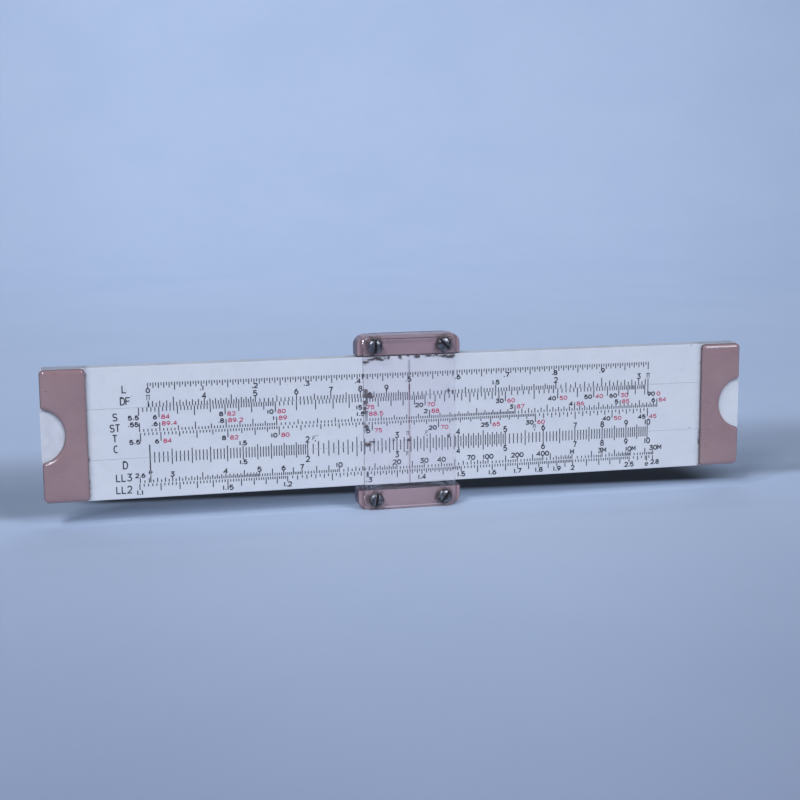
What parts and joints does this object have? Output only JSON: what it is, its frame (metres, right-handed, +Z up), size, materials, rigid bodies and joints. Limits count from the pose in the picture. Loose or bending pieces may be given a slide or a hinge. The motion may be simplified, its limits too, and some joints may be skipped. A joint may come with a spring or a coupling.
{
  "type": "slide rule",
  "caption": "Pocket duplex slide rule: grooved stators joined by notched end braces, a tongued slide between them, and a clear-windowed cursor on runner bars.",
  "frame": {"origin": "under the middle of the rule, on the surface that the cursor's lower runner stands on", "axes": "+X along the rule, towards the high end of the scales; +Y through its thickness, from the front face to the back; +Z up, across the rule's width"},
  "size_m": [0.1748, 0.009, 0.0428],
  "materials": {
    "white_plastic": "satin white plastic, slightly aged",
    "brown_plastic": "satin moulded plastic, pinkish brown",
    "clear_plastic": "clear acrylic, lightly scratched",
    "dark_steel": "tarnished screws",
    "spring_steel": "bright spring leaf"
  },
  "bodies": {
    "frame": {"upper_stator": "white_plastic", "lower_stator": "white_plastic", "left_front_brace": "brown_plastic", "left_back_brace": "brown_plastic", "right_front_brace": "brown_plastic", "right_back_brace": "brown_plastic", "left_upper_outer_brace_screw": "dark_steel", "left_upper_inner_brace_screw": "dark_steel", "left_lower_outer_brace_screw": "dark_steel", "left_lower_inner_brace_screw": "dark_steel", "right_upper_outer_brace_screw": "dark_steel", "right_upper_inner_brace_screw": "dark_steel", "right_lower_outer_brace_screw": "dark_steel", "right_lower_inner_brace_screw": "dark_steel"},
    "slide": {"slide": "white_plastic"},
    "cursor": {"upper_runner": "brown_plastic", "lower_runner": "brown_plastic", "front_window": "clear_plastic", "back_window": "clear_plastic", "tension_spring": "spring_steel", "front_upper_left_screw": "dark_steel", "front_upper_right_screw": "dark_steel", "front_lower_left_screw": "dark_steel", "front_lower_right_screw": "dark_steel", "back_upper_left_screw": "dark_steel", "back_upper_right_screw": "dark_steel", "back_lower_left_screw": "dark_steel", "back_lower_right_screw": "dark_steel"}
  },
  "joints": [
    {"name": "slide_travel", "type": "slide", "parent": "frame", "child": "slide", "axis": [1, 0, 0], "range_m": [-0.125, 0.125]},
    {"name": "cursor_travel", "type": "slide", "parent": "frame", "child": "cursor", "axis": [1, 0, 0], "range_m": [-0.06545, 0.0649]}
  ]
}
